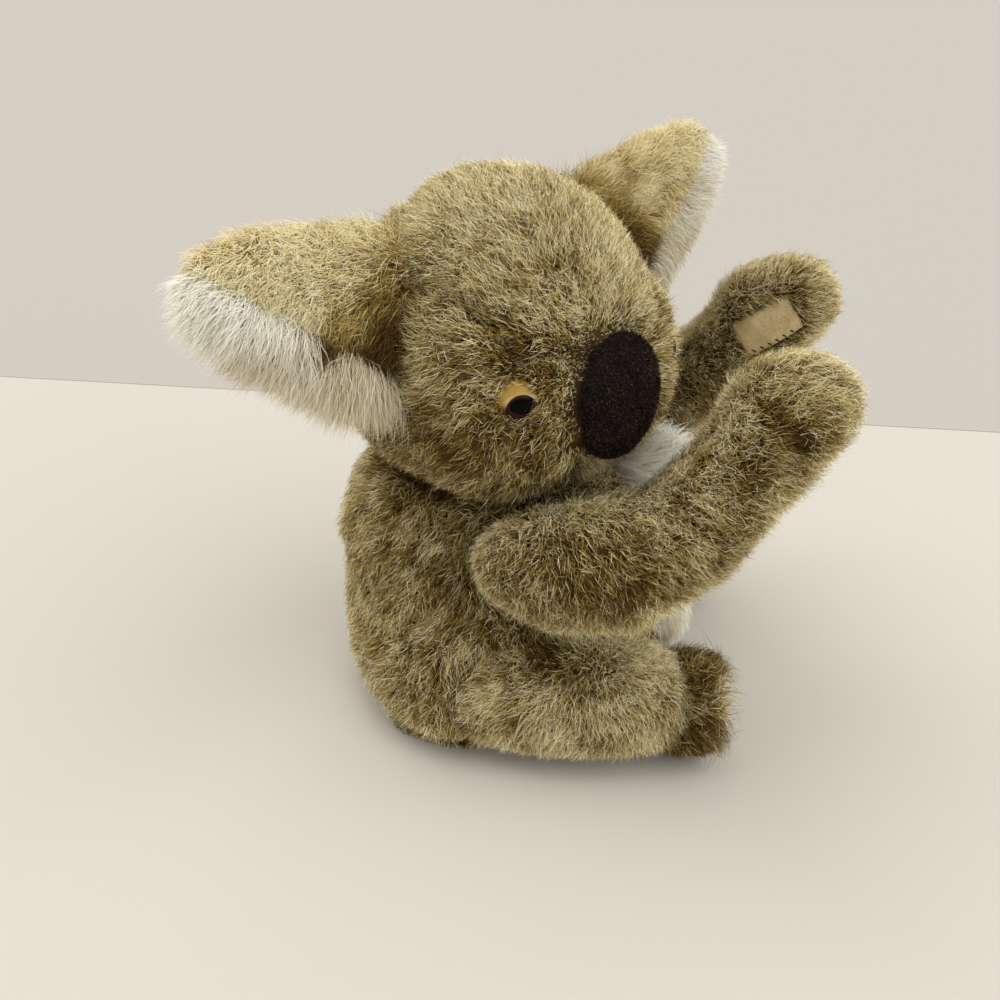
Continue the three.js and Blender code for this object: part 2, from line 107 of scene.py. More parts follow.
def normalsOf(mesh):
    return vectorsOf(mesh.vertices, "normal")


def trianglesOf(mesh):
    mesh.calc_loop_triangles()
    flat = np.empty(len(mesh.loop_triangles) * 3, dtype=int)
    mesh.loop_triangles.foreach_get("vertices", flat)
    return flat.reshape(-1, 3)


def placePoints(mesh, points):
    mesh.vertices.foreach_set("co", points.ravel())
    mesh.update()


def meshOf(name):
    return frame["nodes"][name].data


def treeOf(*names):
    points, faces = [], []
    for name in names:
        mesh = meshOf(name)
        start = len(points)
        points.extend(pointsOf(mesh))
        faces.extend(trianglesOf(mesh) + start)
    corners = [tuple(int(index) for index in face) for face in faces]
    return BVHTree.FromPolygons([tuple(point) for point in points], corners)


def unit(vectors):
    return vectors / np.maximum(np.linalg.norm(vectors, axis=-1, keepdims=True), 1e-12)


def midpoint(name):
    low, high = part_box(name)
    return np.array((low + high) / 2)


def farFrom(points, place):
    return np.linalg.norm(points - place, axis=1)


def fade(distance, strength, reach):
    # The whole strength at the place itself, and next to nothing two reaches away
    return strength * np.exp(-(distance / reach) ** 2)


def rise(values, start, reach, low=0.0):
    # 0 at the start and 1 a reach further on, held between low and 1
    return np.clip((values - start) / reach, low, 1)


# Camera, light and floor

camera = {
    "place": (-0.3416, -0.0299, 0.2825),
    "aim": (0.0, 0.0, 0.0765),
    "lens": 34.2, "sensor": 36.0,
    "near": 0.02, "far": 100.0,
    "picture": 1000,  # pixels across and down, in which places of the photo are given
}

room = {
    "floorTone": (0.635, 0.60, 0.535),
    "wallTone": (0.508, 0.476, 0.435),
    # A thin dark line where the floor meets the wall: painted shade in the corner
    "lineTone": (0.30, 0.27, 0.23),
    "lineStart": (125, 383),  # where the floor meets the wall, in the picture
    "lineEnd": (875, 425),
    "lineWidth": 1.6 * mm,
    "lineDepth": 0.85,
    "reach": 30.0,
    "skyTone": (1.0, 0.985, 0.96),
    "skyStrength": 0.56,
}

# Broad lamps far away, each shining from its place towards the middle
lamps = {
    "ceiling": {"place": (0.2, 0.45, 1.0), "spread": 55, "power": 1.55, "tone": (1.0, 0.97, 0.91)},
    "window": {"place": (-0.25, -0.95, 0.85), "spread": 70, "power": 1.5, "tone": (0.98, 0.99, 1.0)},
}


def addAimed(data, place, aim):
    made = addObject(data.name, data)
    made.location = place
    made.rotation_mode = "QUATERNION"
    made.rotation_quaternion = (Vector(aim) - Vector(place)).to_track_quat("-Z", "Y")
    return made


def makeCamera():
    data = bpy.data.cameras.new("pictureCamera")
    data.lens = camera["lens"]
    data.sensor_width = camera["sensor"]
    data.clip_start = camera["near"]
    data.clip_end = camera["far"]
    made = addAimed(data, camera["place"], camera["aim"])
    bpy.context.scene.camera = made
    bpy.context.view_layer.update()
    return made


def sightLine(pixel):
    # From the camera through a pixel of the picture
    half = camera["picture"] / 2
    scale = camera["sensor"] / camera["lens"] / camera["picture"]
    across, up = (pixel[0] - half) * scale, (half - pixel[1]) * scale
    turn = pictureCamera.matrix_world.to_quaternion()
    return pictureCamera.location.copy(), (turn @ Vector((across, up, -1))).normalized()


def seenAt(pixel, *nodes):
    # The place on the CAD surface that a pixel shows
    return np.array(treeOf(*nodes).ray_cast(*sightLine(pixel))[0])


def onFloor(pixel):
    start, way = sightLine(pixel)
    return start - way * (start.z / way.z)


def makeLamps():
    for name, lamp in lamps.items():
        data = bpy.data.lights.new(name, "SUN")
        data.angle = math.radians(lamp["spread"])
        data.energy = lamp["power"]
        data.color = lamp["tone"]
        addAimed(data, lamp["place"], (0, 0, 0))
    sky = bpy.data.worlds.new("sky")
    sky.use_nodes = True
    background = sky.node_tree.nodes["Background"]
    background.inputs["Color"].default_value = (*room["skyTone"], 1)
    background.inputs["Strength"].default_value = room["skyStrength"]
    bpy.context.scene.world = sky
    bpy.context.scene.view_settings.view_transform = "Standard"


# Finishes

class Value:
    # What a node gives, which takes part in sums
    def __init__(self, tree, output=None):
        self.tree = tree
        self.output = output

    def make(self, kind, settings, inputs, output=0):
        node = self.tree.nodes.new(kind)
        for name, setting in settings.items():
            if name == "stops":
                ramp = node.color_ramp.elements
                while len(ramp) < len(setting):
                    ramp.new(0.5)
                for stop, (place, tone) in zip(ramp, setting):
                    stop.position = place
                    stop.color = (*tone, 1)
            else:
                setattr(node, name, setting)
        for name, given in inputs.items():
            if isinstance(given, Value):
                self.tree.links.new(given.output, node.inputs[name])
            elif given is not None:
                node.inputs[name].default_value = given
        return Value(self.tree, node.outputs[output])

    def sum(self, operation, first, second):
        return self.make("ShaderNodeMath", {"operation": operation}, {0: first, 1: second})

    def __add__(self, other):
        return self.sum("ADD", self, other)

    def __sub__(self, other):
        return self.sum("SUBTRACT", self, other)

    def __rsub__(self, other):
        return self.sum("SUBTRACT", other, self)

    def __mul__(self, other):
        return self.sum("MULTIPLY", self, other)

    def between(self, low, high):
        # 0 below low, 1 above high and smooth between them
        return self.make("ShaderNodeMapRange", {"interpolation_type": "SMOOTHSTEP"},
                         {"Value": self, "From Min": low, "From Max": high})

    def place(self):
        return self.make("ShaderNodeTexCoord", {}, {}, 3)

    def grain(self, scale, detail, **more):
        inputs = {"Vector": self, "Scale": scale, "Detail": detail, **more}
        return self.make("ShaderNodeTexNoise", {}, inputs)

    def dot(self, way):
        inputs = {0: self, 1: tuple(way)}
        return self.make("ShaderNodeVectorMath", {"operation": "DOT_PRODUCT"}, inputs, 1)

    def mix(self, share, first, second):
        first = (*first, 1) if isinstance(first, tuple) else first
        second = (*second, 1) if isinstance(second, tuple) else second
        return self.make("ShaderNodeMix", {"data_type": "RGBA"}, {0: share, 6: first, 7: second}, 2)


def startFinish(name, **fixed):
    material = bpy.data.materials.new(name)
    material.use_nodes = True
    shader = material.node_tree.nodes["Principled BSDF"]
    for socket, value in fixed.items():
        shader.inputs[socket.replace("_", " ")].default_value = value
    return material, shader, Value(material.node_tree)


def link(shader, socket, value):
    shader.id_data.links.new(value.output, shader.inputs[socket])


def makeRelief(shader, start, height, strength, distance):
    inputs = {"Strength": strength, "Distance": distance, "Height": height}
    link(shader, "Normal", start.make("ShaderNodeBump", {}, inputs))


# Over which tones of the strands one ramp goes over into the next
pileLook = {"gloss": 0.03, "darkToLight": (0.05, 0.95), "lightToPale": (0.62, 0.90)}


def pileFinish(name, ramps, rough):
    # Each strand has its tone along u, and runs from root to tip along v
    material, shader, start = startFinish(name, Roughness=rough, Specular_IOR_Level=pileLook["gloss"])
    place = start.make("ShaderNodeUVMap", {"uv_map": "OFBake"}, {})
    parts = start.make("ShaderNodeSeparateXYZ", {}, {0: place})
    along = Value(parts.tree, parts.output.node.outputs[1])
    dark, light, pale = (start.make("ShaderNodeValToRGB", {"stops": ramp}, {0: along}) for ramp in ramps)
    strand = start.mix(parts.between(*pileLook["darkToLight"]), dark, light)
    link(shader, "Base Color", start.mix(parts.between(*pileLook["lightToPale"]), strand, pale))
    return material


clothLook = {
    "gloss": 0.2, "broader": 12, "fineShare": 0.65, "broadShare": 0.35, "darkToLight": (0.35, 0.65),
    "relief": 0.6,
}


def clothFinish(name, dark, light, grain, bump, rough):
    material, shader, start = startFinish(name, Roughness=rough, Specular_IOR_Level=clothLook["gloss"])
    place = start.place()
    fine = place.grain(grain, 6.0, Roughness=0.7)
    broad = place.grain(grain / clothLook["broader"], 3.0)
    share = fine * clothLook["fineShare"] + broad * clothLook["broadShare"]
    link(shader, "Base Color", start.mix(share.between(*clothLook["darkToLight"]), dark, light))
    makeRelief(shader, start, fine, clothLook["relief"], bump)
    return material


boardLook = {"gloss": 0.35, "darkToLight": (0.4, 0.65), "roughSpread": 0.2, "relief": 0.4}


def boardFinish(name, dark, light, grain, bump, rough):
    material, shader, start = startFinish(name, Specular_IOR_Level=boardLook["gloss"])
    fibres = start.place().grain(grain, 8.0, Distortion=0.8)
    link(shader, "Base Color", start.mix(fibres.between(*boardLook["darkToLight"]), dark, light))
    link(shader, "Roughness", fibres * boardLook["roughSpread"] + rough)
    makeRelief(shader, start, fibres, boardLook["relief"], bump)
    return material


# Tones from root (0) to tip (1) of a strand. The darker roots are painted shade deep in the pile, and in
# the agouti and nose ramps partly also the pile's own colour
pileTones = {
    "agoutiDark": [(0.0, (0.012, 0.005, 0.002)), (0.3, (0.062, 0.031, 0.007)),
                   (0.62, (0.148, 0.082, 0.021)), (0.85, (0.042, 0.018, 0.008)),
                   (1.0, (0.016, 0.007, 0.005))],
    "agoutiLight": [(0.0, (0.04, 0.022, 0.003)), (0.25, (0.42, 0.274, 0.04)),
                    (0.65, (0.9, 0.675, 0.195)), (0.86, (0.8, 0.56, 0.155)),
                    (1.0, (0.46, 0.26, 0.06))],
    "agoutiPale": [(0.0, (0.45, 0.35, 0.14)), (0.3, (0.93, 0.8, 0.44)),
                   (0.7, (0.985, 0.905, 0.61)), (1.0, (0.98, 0.885, 0.58))],
    "whiteDark": [(0.0, (0.4, 0.32, 0.17)), (0.5, (0.7, 0.6, 0.4)),
                  (1.0, (0.76, 0.67, 0.47))],
    "whiteLight": [(0.0, (0.7, 0.63, 0.46)), (0.5, (0.95, 0.91, 0.77)),
                   (1.0, (0.965, 0.935, 0.82))],
    "whitePale": [(0.0, (0.88, 0.84, 0.7)), (0.5, (0.985, 0.965, 0.87)),
                  (1.0, (0.99, 0.975, 0.89))],
    "noseDark": [(0.0, (0.004, 0.003, 0.003)), (1.0, (0.01, 0.006, 0.006))],
    "noseLight": [(0.0, (0.006, 0.004, 0.003)), (0.5, (0.026, 0.013, 0.009)),
                  (1.0, (0.22, 0.135, 0.095))],
}

# For each kind of pile its dark, light and pale ramp, and its roughness
piles = {
    "agouti": (("agoutiDark", "agoutiLight", "agoutiPale"), 0.9),
    "white": (("whiteDark", "whiteLight", "whitePale"), 0.9),
    "nose": (("noseDark", "noseLight", "noseLight"), 0.75),
}

# Dark tone, light tone, grain, bump and roughness
cloths = {
    # A backing shows between the strands: the grey one's dark tones are partly painted shade deep in the
    # pile, and the ears' pale one is partly painted light scattered through their pale pile
    "greyBacking": ((0.026, 0.014, 0.004), (0.075, 0.046, 0.014), 900.0, 0.5 * mm, 0.95),
    "paleBacking": ((0.2, 0.14, 0.045), (0.38, 0.28, 0.11), 900.0, 0.5 * mm, 0.95),
    "whiteBacking": ((0.52, 0.46, 0.34), (0.72, 0.67, 0.55), 900.0, 0.5 * mm, 0.95),
    "noseBacking": ((0.004, 0.003, 0.003), (0.014, 0.009, 0.008), 1200.0, 0.3 * mm, 0.95),
    "suede": ((0.42, 0.31, 0.14), (0.66, 0.52, 0.285), 1500.0, 0.15 * mm, 0.95),
    "thread": ((0.008, 0.007, 0.007), (0.03, 0.026, 0.024), 3000.0, 0.05 * mm, 0.6),
}

boards = {
    "fibreBoard": ((0.2, 0.12, 0.06), (0.36, 0.25, 0.14), 700.0, 0.1 * mm, 0.6),
    "lockPlastic": ((0.6, 0.59, 0.55), (0.7, 0.69, 0.65), 260.0, 0.02 * mm, 0.3),
}


def makeFinishes():
    made = {}
    for name, (ramps, rough) in piles.items():
        made[name] = pileFinish(name + "Pile", [pileTones[ramp] for ramp in ramps], rough)
    for name, look in cloths.items():
        made[name] = clothFinish(name, *look)
    for name, look in boards.items():
        made[name] = boardFinish(name, *look)
    return made


def makeRoom():
    start, end = onFloor(room["lineStart"]), onFloor(room["lineEnd"])
    along = (end - start).normalized()
    past = Vector((-along.y, along.x, 0))
    past *= -1 if past.dot(start) < 0 else 1
    material, shader, value = startFinish("paperFloor", Roughness=0.8, Specular_IOR_Level=0.1)
    beyond = value.place().dot(past) - past.dot(start)
    base = value.mix(beyond.between(0.0, room["lineWidth"]), room["floorTone"], room["wallTone"])
    width = room["lineWidth"]
    # The dark line along the edge is painted shade, as in the corner of a floor and a wall
    cornerShade = beyond.between(-width, -width / 2) * (1 - beyond.between(0.0, width / 2))
    link(shader, "Base Color", value.mix(cornerShade * room["lineDepth"], base, room["lineTone"]))
    pickNone()
    bpy.ops.mesh.primitive_plane_add(size=room["reach"], location=(0, 0, 0))
    floor = bpy.context.active_object
    floor.name = "paper_floor"
    floor.data.materials.append(material)


pictureCamera = makeCamera()
makeLamps()
finishes = makeFinishes()
makeRoom()
print("camera, lamps and floor are set")


# Stuffed skins: each is made from its cut panels, then drawn in along its seams

skinSizes = {
    "weld": 0.01 * mm, "voxel": 2.0 * mm, "smoothing": 10,
    "seam": (1.6 * mm, 3.2 * mm),  # how deep it is drawn in, and over what reach
}


def keepOuterShell(skin):
    points = pointsOf(skin.data)
    outermost = int(farFrom(points, points.mean(0)).argmax())
    pick(skin)
    bpy.ops.object.mode_set(mode="EDIT")
    bpy.ops.mesh.select_mode(type="VERT")
    bpy.ops.mesh.select_all(action="DESELECT")
    bpy.ops.object.mode_set(mode="OBJECT")
    skin.data.vertices[outermost].select = True
    bpy.ops.object.mode_set(mode="EDIT")
    bpy.ops.mesh.select_linked()
    bpy.ops.mesh.select_all(action="INVERT")
    bpy.ops.mesh.delete(type="VERT")
    bpy.ops.object.mode_set(mode="OBJECT")


def joinedForm(name, nodes, voxel=skinSizes["voxel"], smoothing=skinSizes["smoothing"]):
    copies = [addObject(name, meshOf(node).copy()) for node in nodes]
    pick(*copies)
    if len(copies) > 1:
        bpy.ops.object.join()
    form = bpy.context.active_object
    form.name = name
    bpy.ops.object.mode_set(mode="EDIT")
    bpy.ops.mesh.select_all(action="SELECT")
    bpy.ops.mesh.remove_doubles(threshold=skinSizes["weld"])
    bpy.ops.object.mode_set(mode="OBJECT")
    applyModifier(form, "REMESH", mode="VOXEL", voxel_size=voxel)
    keepOuterShell(form)
    applyModifier(form, "SMOOTH", factor=0.5, iterations=smoothing)
    form.data.materials.clear()
    form.data.shade_smooth()
    return form


def panelDistances(points, panels):
    trees = [treeOf(panel) for panel in panels]
    found = np.empty((len(points), len(trees)))
    for column, tree in enumerate(trees):
        for row, point in enumerate(points):
            found[row, column] = tree.find_nearest(point)[3]
    return found


def seamDistances(distances):
    # A point is on a seam where its two nearest panels are as near as each other
    spread = np.sort(distances, axis=1)
    return spread[:, 1] - spread[:, 0]


def drawInSeams(skin, panels, share=1.0):
    points, normals = pointsOf(skin.data), normalsOf(skin.data)
    toSeam = seamDistances(panelDistances(points, panels))
    drawn = share * fade(toSeam, *skinSizes["seam"])
    placePoints(skin.data, points - normals * drawn[:, None])


def backPanels(skin, panels, backings=None):
    # Each face takes the backing of the panel that it lies on
    for backing in backings or ["greyBacking"] * len(panels):
        skin.data.materials.append(finishes[backing])
    nearest = panelDistances(vectorsOf(skin.data.polygons, "center"), panels).argmin(1)
    skin.data.polygons.foreach_set("material_index", nearest.astype(np.int32))
    skin.data.update()


# Pile: strands that grow from a skin, leaning along its nap and gathered in tufts

sewnTogether = [{"torso", "leg_right"}, {"torso", "leg_left"}]  # their piles meet without a gap

crowding = {
    "sight": 20 * mm,  # how far off another body still counts
    # Painted shade: pile close to another body is painted darker, as shade in the gaps between parts
    "shade": (1.1, 6.5 * mm),  # how much darker it gets, and over what reach
    "roomNeeded": 0.55,  # by an upright strand, as a share of its length
    "shortest": 0.12, "bareBelow": 0.05, "lengthBelow": 0.08,
    "underside": -0.6, "undersideHeight": 12 * mm, "undersideShare": 0.3,
}

# For each thing that varies over a skin: the size of its ripples, their seed and how strong they are
ripples = {
    "nap": (16 * mm, 1, 0.75), "patches": (9 * mm, 2, 0.38), "flecks": (3.5 * mm, 5, 0.22),
    "length": (20 * mm, 3, 0.18), "lining": (16 * mm, 4, 0.45),
}

rippleSteps = (7.3, 3.1, 5.7)  # how far apart the noise of two seeds is read
noise.seed_set(1)  # or the clock seeds it, and each run gives another pile


def roomAround(points, body):
    # How far each point is from the nearest piece of another body, 0 if it is inside
    sight = crowding["sight"]
    found = np.full(len(points), sight)
    for other, names in bodies.items():
        if other == body:
            continue
        tree = treeOf(*names)
        sewn = {body, other} in sewnTogether
        for row, point in enumerate(points):
            place, normal, _, distance = tree.find_nearest(point, sight)
            if place is not None:
                inside = (Vector(point) - place).dot(normal) < 0
                free = sight if sewn else distance
                found[row] = min(found[row], 0 if inside else free)
    return found


def ripple(points, name):
    # Smooth noise in three directions
    size, seed, strength = ripples[name]
    shift = Vector([seed * step for step in rippleSteps])
    return np.array([noise.noise_vector(Vector(point) / size + shift) for point in points]) * strength


def napField(skin, body, panels, napAt, toneAt, lengthAt):
    mesh = skin.data
    points = pointsOf(mesh)
    field = {"points": points, "normals": normalsOf(mesh), "triangles": trianglesOf(mesh)}
    field["panels"] = panelDistances(points, panels)
    field["panel"] = field["panels"].argmin(1)
    field["toSeam"] = seamDistances(field["panels"]) if len(panels) > 1 else np.ones(len(points))
    field["nap"] = unit(napAt(points, field)) + ripple(points, "nap")
    field["tone"] = toneAt(points, field) + ripple(points, "patches")[:, 0]
    field["tone"] += ripple(points, "flecks")[:, 0]
    field["length"] = lengthAt(points, field) * (1 + ripple(points, "length")[:, 0])
    field["room"] = roomAround(points, body)
    # Painted shade in the gaps between parts
    field["tone"] -= fade(field["room"], *crowding["shade"])
    return field


def sampledRoots(field, density, rng):
    points, triangles = field["points"], field["triangles"]
    a, b, c = (points[triangles[:, corner]] for corner in range(3))
    areas = np.linalg.norm(np.cross(b - a, c - a), axis=1) / 2
    count = int(areas.sum() * density)
    chosen = triangles[rng.choice(len(triangles), count, p=areas / areas.sum())]
    u, v = rng.random(count), rng.random(count)
    over = u + v > 1
    u[over], v[over] = 1 - u[over], 1 - v[over]
    shares = np.stack([1 - u - v, u, v], axis=1)
    roots = {}
    for name, values in field.items():
        if name not in ("triangles", "panel"):
            corners = values[chosen]
            weights = shares[:, :, None] if corners.ndim == 3 else shares
            roots[name] = (corners * weights).sum(1)
    roots["normals"] = unit(roots["normals"])
    return roots


def tuftOf(points, size, rng):
    # The strand at the middle of each strand's tuft
    count = max(1, len(points) // size)
    middles = rng.choice(len(points), count, replace=False)
    tree = KDTree(count)
    for index, middle in enumerate(middles):
        tree.insert(points[middle], index)
    tree.balance()
    return middles[[tree.find(point)[1] for point in points]]


strandSizes = {
    "rootDepth": 0.4 * mm, "lengthSpread": 0.16, "shortest": 0.55, "longest": 1.5, "liftSpread": 9.0,
    "tuftWidth": 0.35,  # of a tuft at its tips, as a share of its width at the roots
    "curlBack": -0.6, "pullPower": 1.5, "twist": 55.0, "taper": 0.55, "overFloor": 0.3 * mm,
    "toneSlant": 0.003, "tones": (0.006, 0.994), "rootAt": 0.01, "tipAt": 0.99, "quickShare": 0.4,
}


def strandLines(roots, style, rng):
    # Root, bends and tip of each strand
    size, count = strandSizes, len(roots["points"])
    normals = roots["normals"]
    nap = roots["nap"] + rng.normal(0, style["stray"], (count, 3))
    nap = unit(nap - normals * (nap * normals).sum(1, keepdims=True))
    varied = np.clip(rng.normal(1, size["lengthSpread"], count), size["shortest"], size["longest"])
    lengths = roots["length"] * style["length"] * varied
    bends = style["bends"]
    lines = [roots["points"] - normals * size["rootDepth"]]
    stray = rng.normal(0, style["curl"], (count, 3))
    for bend in range(bends):
        share = bend / max(1, bends - 1)
        lift = style["rootLift"] * (1 - share) + style["tipLift"] * share
        lift = np.radians(lift + rng.normal(0, size["liftSpread"], count))
        way = nap * np.cos(lift)[:, None] + normals * np.sin(lift)[:, None]
        way += stray * (1 if bend % 2 else size["curlBack"])
        way[:, 2] -= style["droop"] * share
        lines.append(lines[-1] + unit(way) * (lengths / bends)[:, None])
    return np.stack(lines, axis=1)


def gatherTufts(lines, tufts, style):
    bends = style["bends"]
    for bend in range(1, bends + 1):
        pull = style["gather"] * (bend / bends) ** strandSizes["pullPower"]
        target = lines[tufts, bend] + (lines[:, 0] - lines[tufts, 0]) * strandSizes["tuftWidth"]
        lines[:, bend] += (target - lines[:, bend]) * pull
    return lines


def strandMesh(name, lines, normals, tones, style, rng):
    size, count, bends = strandSizes, lines.shape[0], lines.shape[1] - 1
    turn = np.radians(rng.uniform(-size["twist"], size["twist"], count))
    sides = []
    for knot in range(bends):
        way = unit(lines[:, knot + 1] - lines[:, knot])
        across = unit(np.cross(way, normals))
        over = np.cross(across, way)
        sides.append(across * np.cos(turn)[:, None] + over * np.sin(turn)[:, None])
    perStrand = 2 * bends + 1
    points = np.empty((count, perStrand, 3))
    for knot in range(bends):
        half = style["width"] / 2 * (1 - size["taper"] * knot / bends)
        points[:, 2 * knot] = lines[:, knot] - sides[knot] * half
        points[:, 2 * knot + 1] = lines[:, knot] + sides[knot] * half
    points[:, -1] = lines[:, -1]
    points[:, :, 2] = np.maximum(points[:, :, 2], size["overFloor"])
    corners = []
    for knot in range(bends - 1):
        corners += [2 * knot, 2 * knot + 1, 2 * knot + 3, 2 * knot + 2]
    corners += [perStrand - 3, perStrand - 2, perStrand - 1]
    corners = np.array(corners)
    heights = np.repeat(np.arange(bends) / bends, 2).tolist() + [1.0]
    slants = np.array([-1, 1] * bends + [0])
    u = tones[:, None] + slants[None, corners] * size["toneSlant"]
    v = size["rootAt"] + (size["tipAt"] - size["rootAt"]) * np.array(heights)[corners]
    v = np.broadcast_to(v, u.shape)
    mesh = bpy.data.meshes.new(name)
    mesh.vertices.add(count * perStrand)
    mesh.vertices.foreach_set("co", points.astype(np.float32).ravel())
    mesh.loops.add(count * len(corners))
    loops = corners[None, :] + np.arange(count)[:, None] * perStrand
    mesh.loops.foreach_set("vertex_index", loops.astype(np.int32).ravel())
    mesh.polygons.add(count * bends)
    first = 4 * np.arange(bends)[None, :] + np.arange(count)[:, None] * len(corners)
    mesh.polygons.foreach_set("loop_start", first.astype(np.int32).ravel())
    mesh.update(calc_edges=True)
    layer = mesh.uv_layers.new(name="OFBake")
    layer.data.foreach_set("uv", np.stack([u, v], axis=-1).astype(np.float32).ravel())
    mesh.shade_smooth()
    return mesh


def growPile(pieces, field, style, body, seed, keep=None):
    # pieces: for each panel the name, finish and slot of its pile, or None where nothing grows
    rng = np.random.default_rng(seed)
    roots = sampledRoots(field, style["density"] * (1), rng)
    enough = rise(roots["room"], 0, crowding["roomNeeded"] * style["length"])
    roots["length"] = roots["length"] * np.maximum(enough, crowding["shortest"])
    roots["panel"] = roots["panels"].argmin(1)
    grown = (enough > crowding["bareBelow"]) & (roots["length"] > crowding["lengthBelow"])
    pressed = roots["normals"][:, 2] < crowding["underside"]
    pressed &= roots["points"][:, 2] < crowding["undersideHeight"]
    grown &= ~pressed | (rng.random(len(grown)) < crowding["undersideShare"])
    if keep is not None:
        grown &= keep(roots)
    roots = {name: values[grown] for name, values in roots.items()}
    lines = strandLines(roots, style, rng)
    lines = gatherTufts(lines, tuftOf(roots["points"], style["tuft"], rng), style)
    tones = np.clip(roots["tone"] + rng.normal(0, style["speckle"], len(lines)), *strandSizes["tones"])
    for index, panel in enumerate(pieces):
        if panel is None:
            continue
        chosen = roots["panel"] == index
        name, finish, slot = panel
        mesh = strandMesh(name, lines[chosen], roots["normals"][chosen], tones[chosen], style, rng)
        mesh.materials.append(finishes[finish])
        piece = addObject(name, mesh)
        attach(piece, body)
        print(name, "has", int(chosen.sum()), "strands")


def grey(name):
    return name, "agouti", "grey_plush"


def white(name):
    return name, "white", "white_plush"


def dress(skin, nodes, body):
    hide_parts(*nodes)
    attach(skin, body)


pile = {
    "density": 3.65 / mm ** 2, "length": 8.6 * mm, "width": 0.25 * mm, "bends": 2,
    "rootLift": 60.0, "tipLift": 26.0, "stray": 0.55, "curl": 0.46, "droop": 0.15,
    "tuft": 9, "gather": 0.38, "speckle": 0.4,
}

bibPile = dict(pile, density=4.0 / mm ** 2, length=11.0 * mm, width=0.3 * mm, bends=3, rootLift=62.0,
               tipLift=30.0, stray=0.3, curl=0.16, gather=0.35, tuft=16, speckle=0.14)


mirrored = np.array((-1, 1, 1))

# Places painted darker in the pile, as painted shade in hollows and under overhangs, such as between the
# arm and the leg: where each is in the picture, its reach and its depth
darkSpots = {
    "torso": [((547, 655), 9 * mm, 1.0)],
    "head": [((527, 340), 7 * mm, 0.35), ((455, 452), 9 * mm, 0.2)],
    "arm": [((603, 575), 15 * mm, 0.28)],
    "leg": [((547, 655), 9 * mm, 1.0), ((583, 668), 13 * mm, 0.35)],
}

# The even level of the painted light and shade by facing, and how much lighter undersides are painted
paintedSideLightSizes = {"even": 0.6, "under": 0.7}


def paintedSideLightTone(field, size):
    # Painted light and shade by facing: pile that points sideways shows its dark tips and is painted
    # darker, pile on the rims shows its light shafts and is painted lighter, as a sheen, and undersides are
    # painted lighter, as light bounced from the floor
    sideways, down = np.abs(field["normals"][:, 0]), -field["normals"][:, 2]
    shade = paintedSideLightSizes["even"] - sideways + paintedSideLightSizes["under"] * np.clip(down, 0, 1)
    return size["tone"] + size["shade"] * shade


def spotShade(points, piece, *nodes):
    # Seen on the right side, and mirrored on the left one
    shade = np.zeros(len(points))
    for pixel, reach, depth in darkSpots[piece]:
        place = seenAt(pixel, *nodes)
        for twin in (place, place * mirrored):
            shade += fade(farFrom(points, twin), depth, reach)
    return shade


# In the sizes below, what goes to fade is a strength and its reach, and what goes to rise is a
# start, a reach and the least value

# Torso

torsoPile = dict(pile, density=2.9 / mm ** 2, width=0.29 * mm)

torsoSizes = {
    "fill": 0.9, "nap": (0, 0.35, -1), "bibNap": (0, -1, 0.75),
    "bibHeight": 97 * mm, "bibForward": 0.82, "bib": (1.0, 25 * mm), "bibLength": 1.1,
    "tone": 0.56, "shade": 0.4, "seamDark": (0.18, 5 * mm), "lowPaintedLight": 0.12, "lowTop": 25 * mm,
    "creamAndShade": 0.55, "whiter": 0.7, "whitening": (45 * mm, 35 * mm),
    "onFloor": (4 * mm, 14 * mm, 0.45), "atSeam": (-0.35, 2.5 * mm),
}


def makeTorso():
    size = torsoSizes
    panels = ["body_side_right", "body_side_left", "body_belly_panel", "body_seat_panel"]
    nodes = panels + ["body_stuffing"]
    skin = joinedForm("torso_skin", nodes)
    drawInSeams(skin, panels)
    backPanels(skin, panels, ["greyBacking", "greyBacking", "whiteBacking", "greyBacking"])
    bibMiddle = (0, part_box("body_belly_panel")[0].y * size["bibForward"], size["bibHeight"])

    def bibShare(points, field):
        return fade(farFrom(points, bibMiddle), *size["bib"]) * (field["panel"] == 2)

    def napAt(points, field):
        share = bibShare(points, field)[:, None]
        return np.array(size["nap"]) * (1 - share) + np.array(size["bibNap"]) * share

    def toneAt(points, field):
        tone = paintedSideLightTone(field, size)
        tone -= fade(field["toSeam"], *size["seamDark"])
        # Painted light: the lowest band is painted lighter, as light bounced up from the floor
        tone += size["lowPaintedLight"] * (points[:, 2] < size["lowTop"])
        tone -= spotShade(points, "torso", "body_side_right", "leg_outer_right")
        # The belly's white pile is darker towards the bottom: partly a creamier colour and partly painted
        # shade under the arms
        belly = size["creamAndShade"] + size["whiter"] * rise(points[:, 2], *size["whitening"])
        return np.where(field["panel"] == 2, belly, tone)

    def lengthAt(points, field):
        length = rise(points[:, 2], *size["onFloor"]) * (1 + size["bibLength"] * bibShare(points, field))
        return length * (1 + fade(field["toSeam"], *size["atSeam"]))

    field = napField(skin, "torso", panels, napAt, toneAt, lengthAt)
    growPile([grey("back_pile_right"), grey("back_pile_left"), None, grey("seat_pile")],
             field, torsoPile, "torso", 11)
    growPile([None, None, white("belly_pile"), None], field, bibPile, "torso", 12)
    dress(skin, nodes, "torso")


# Head

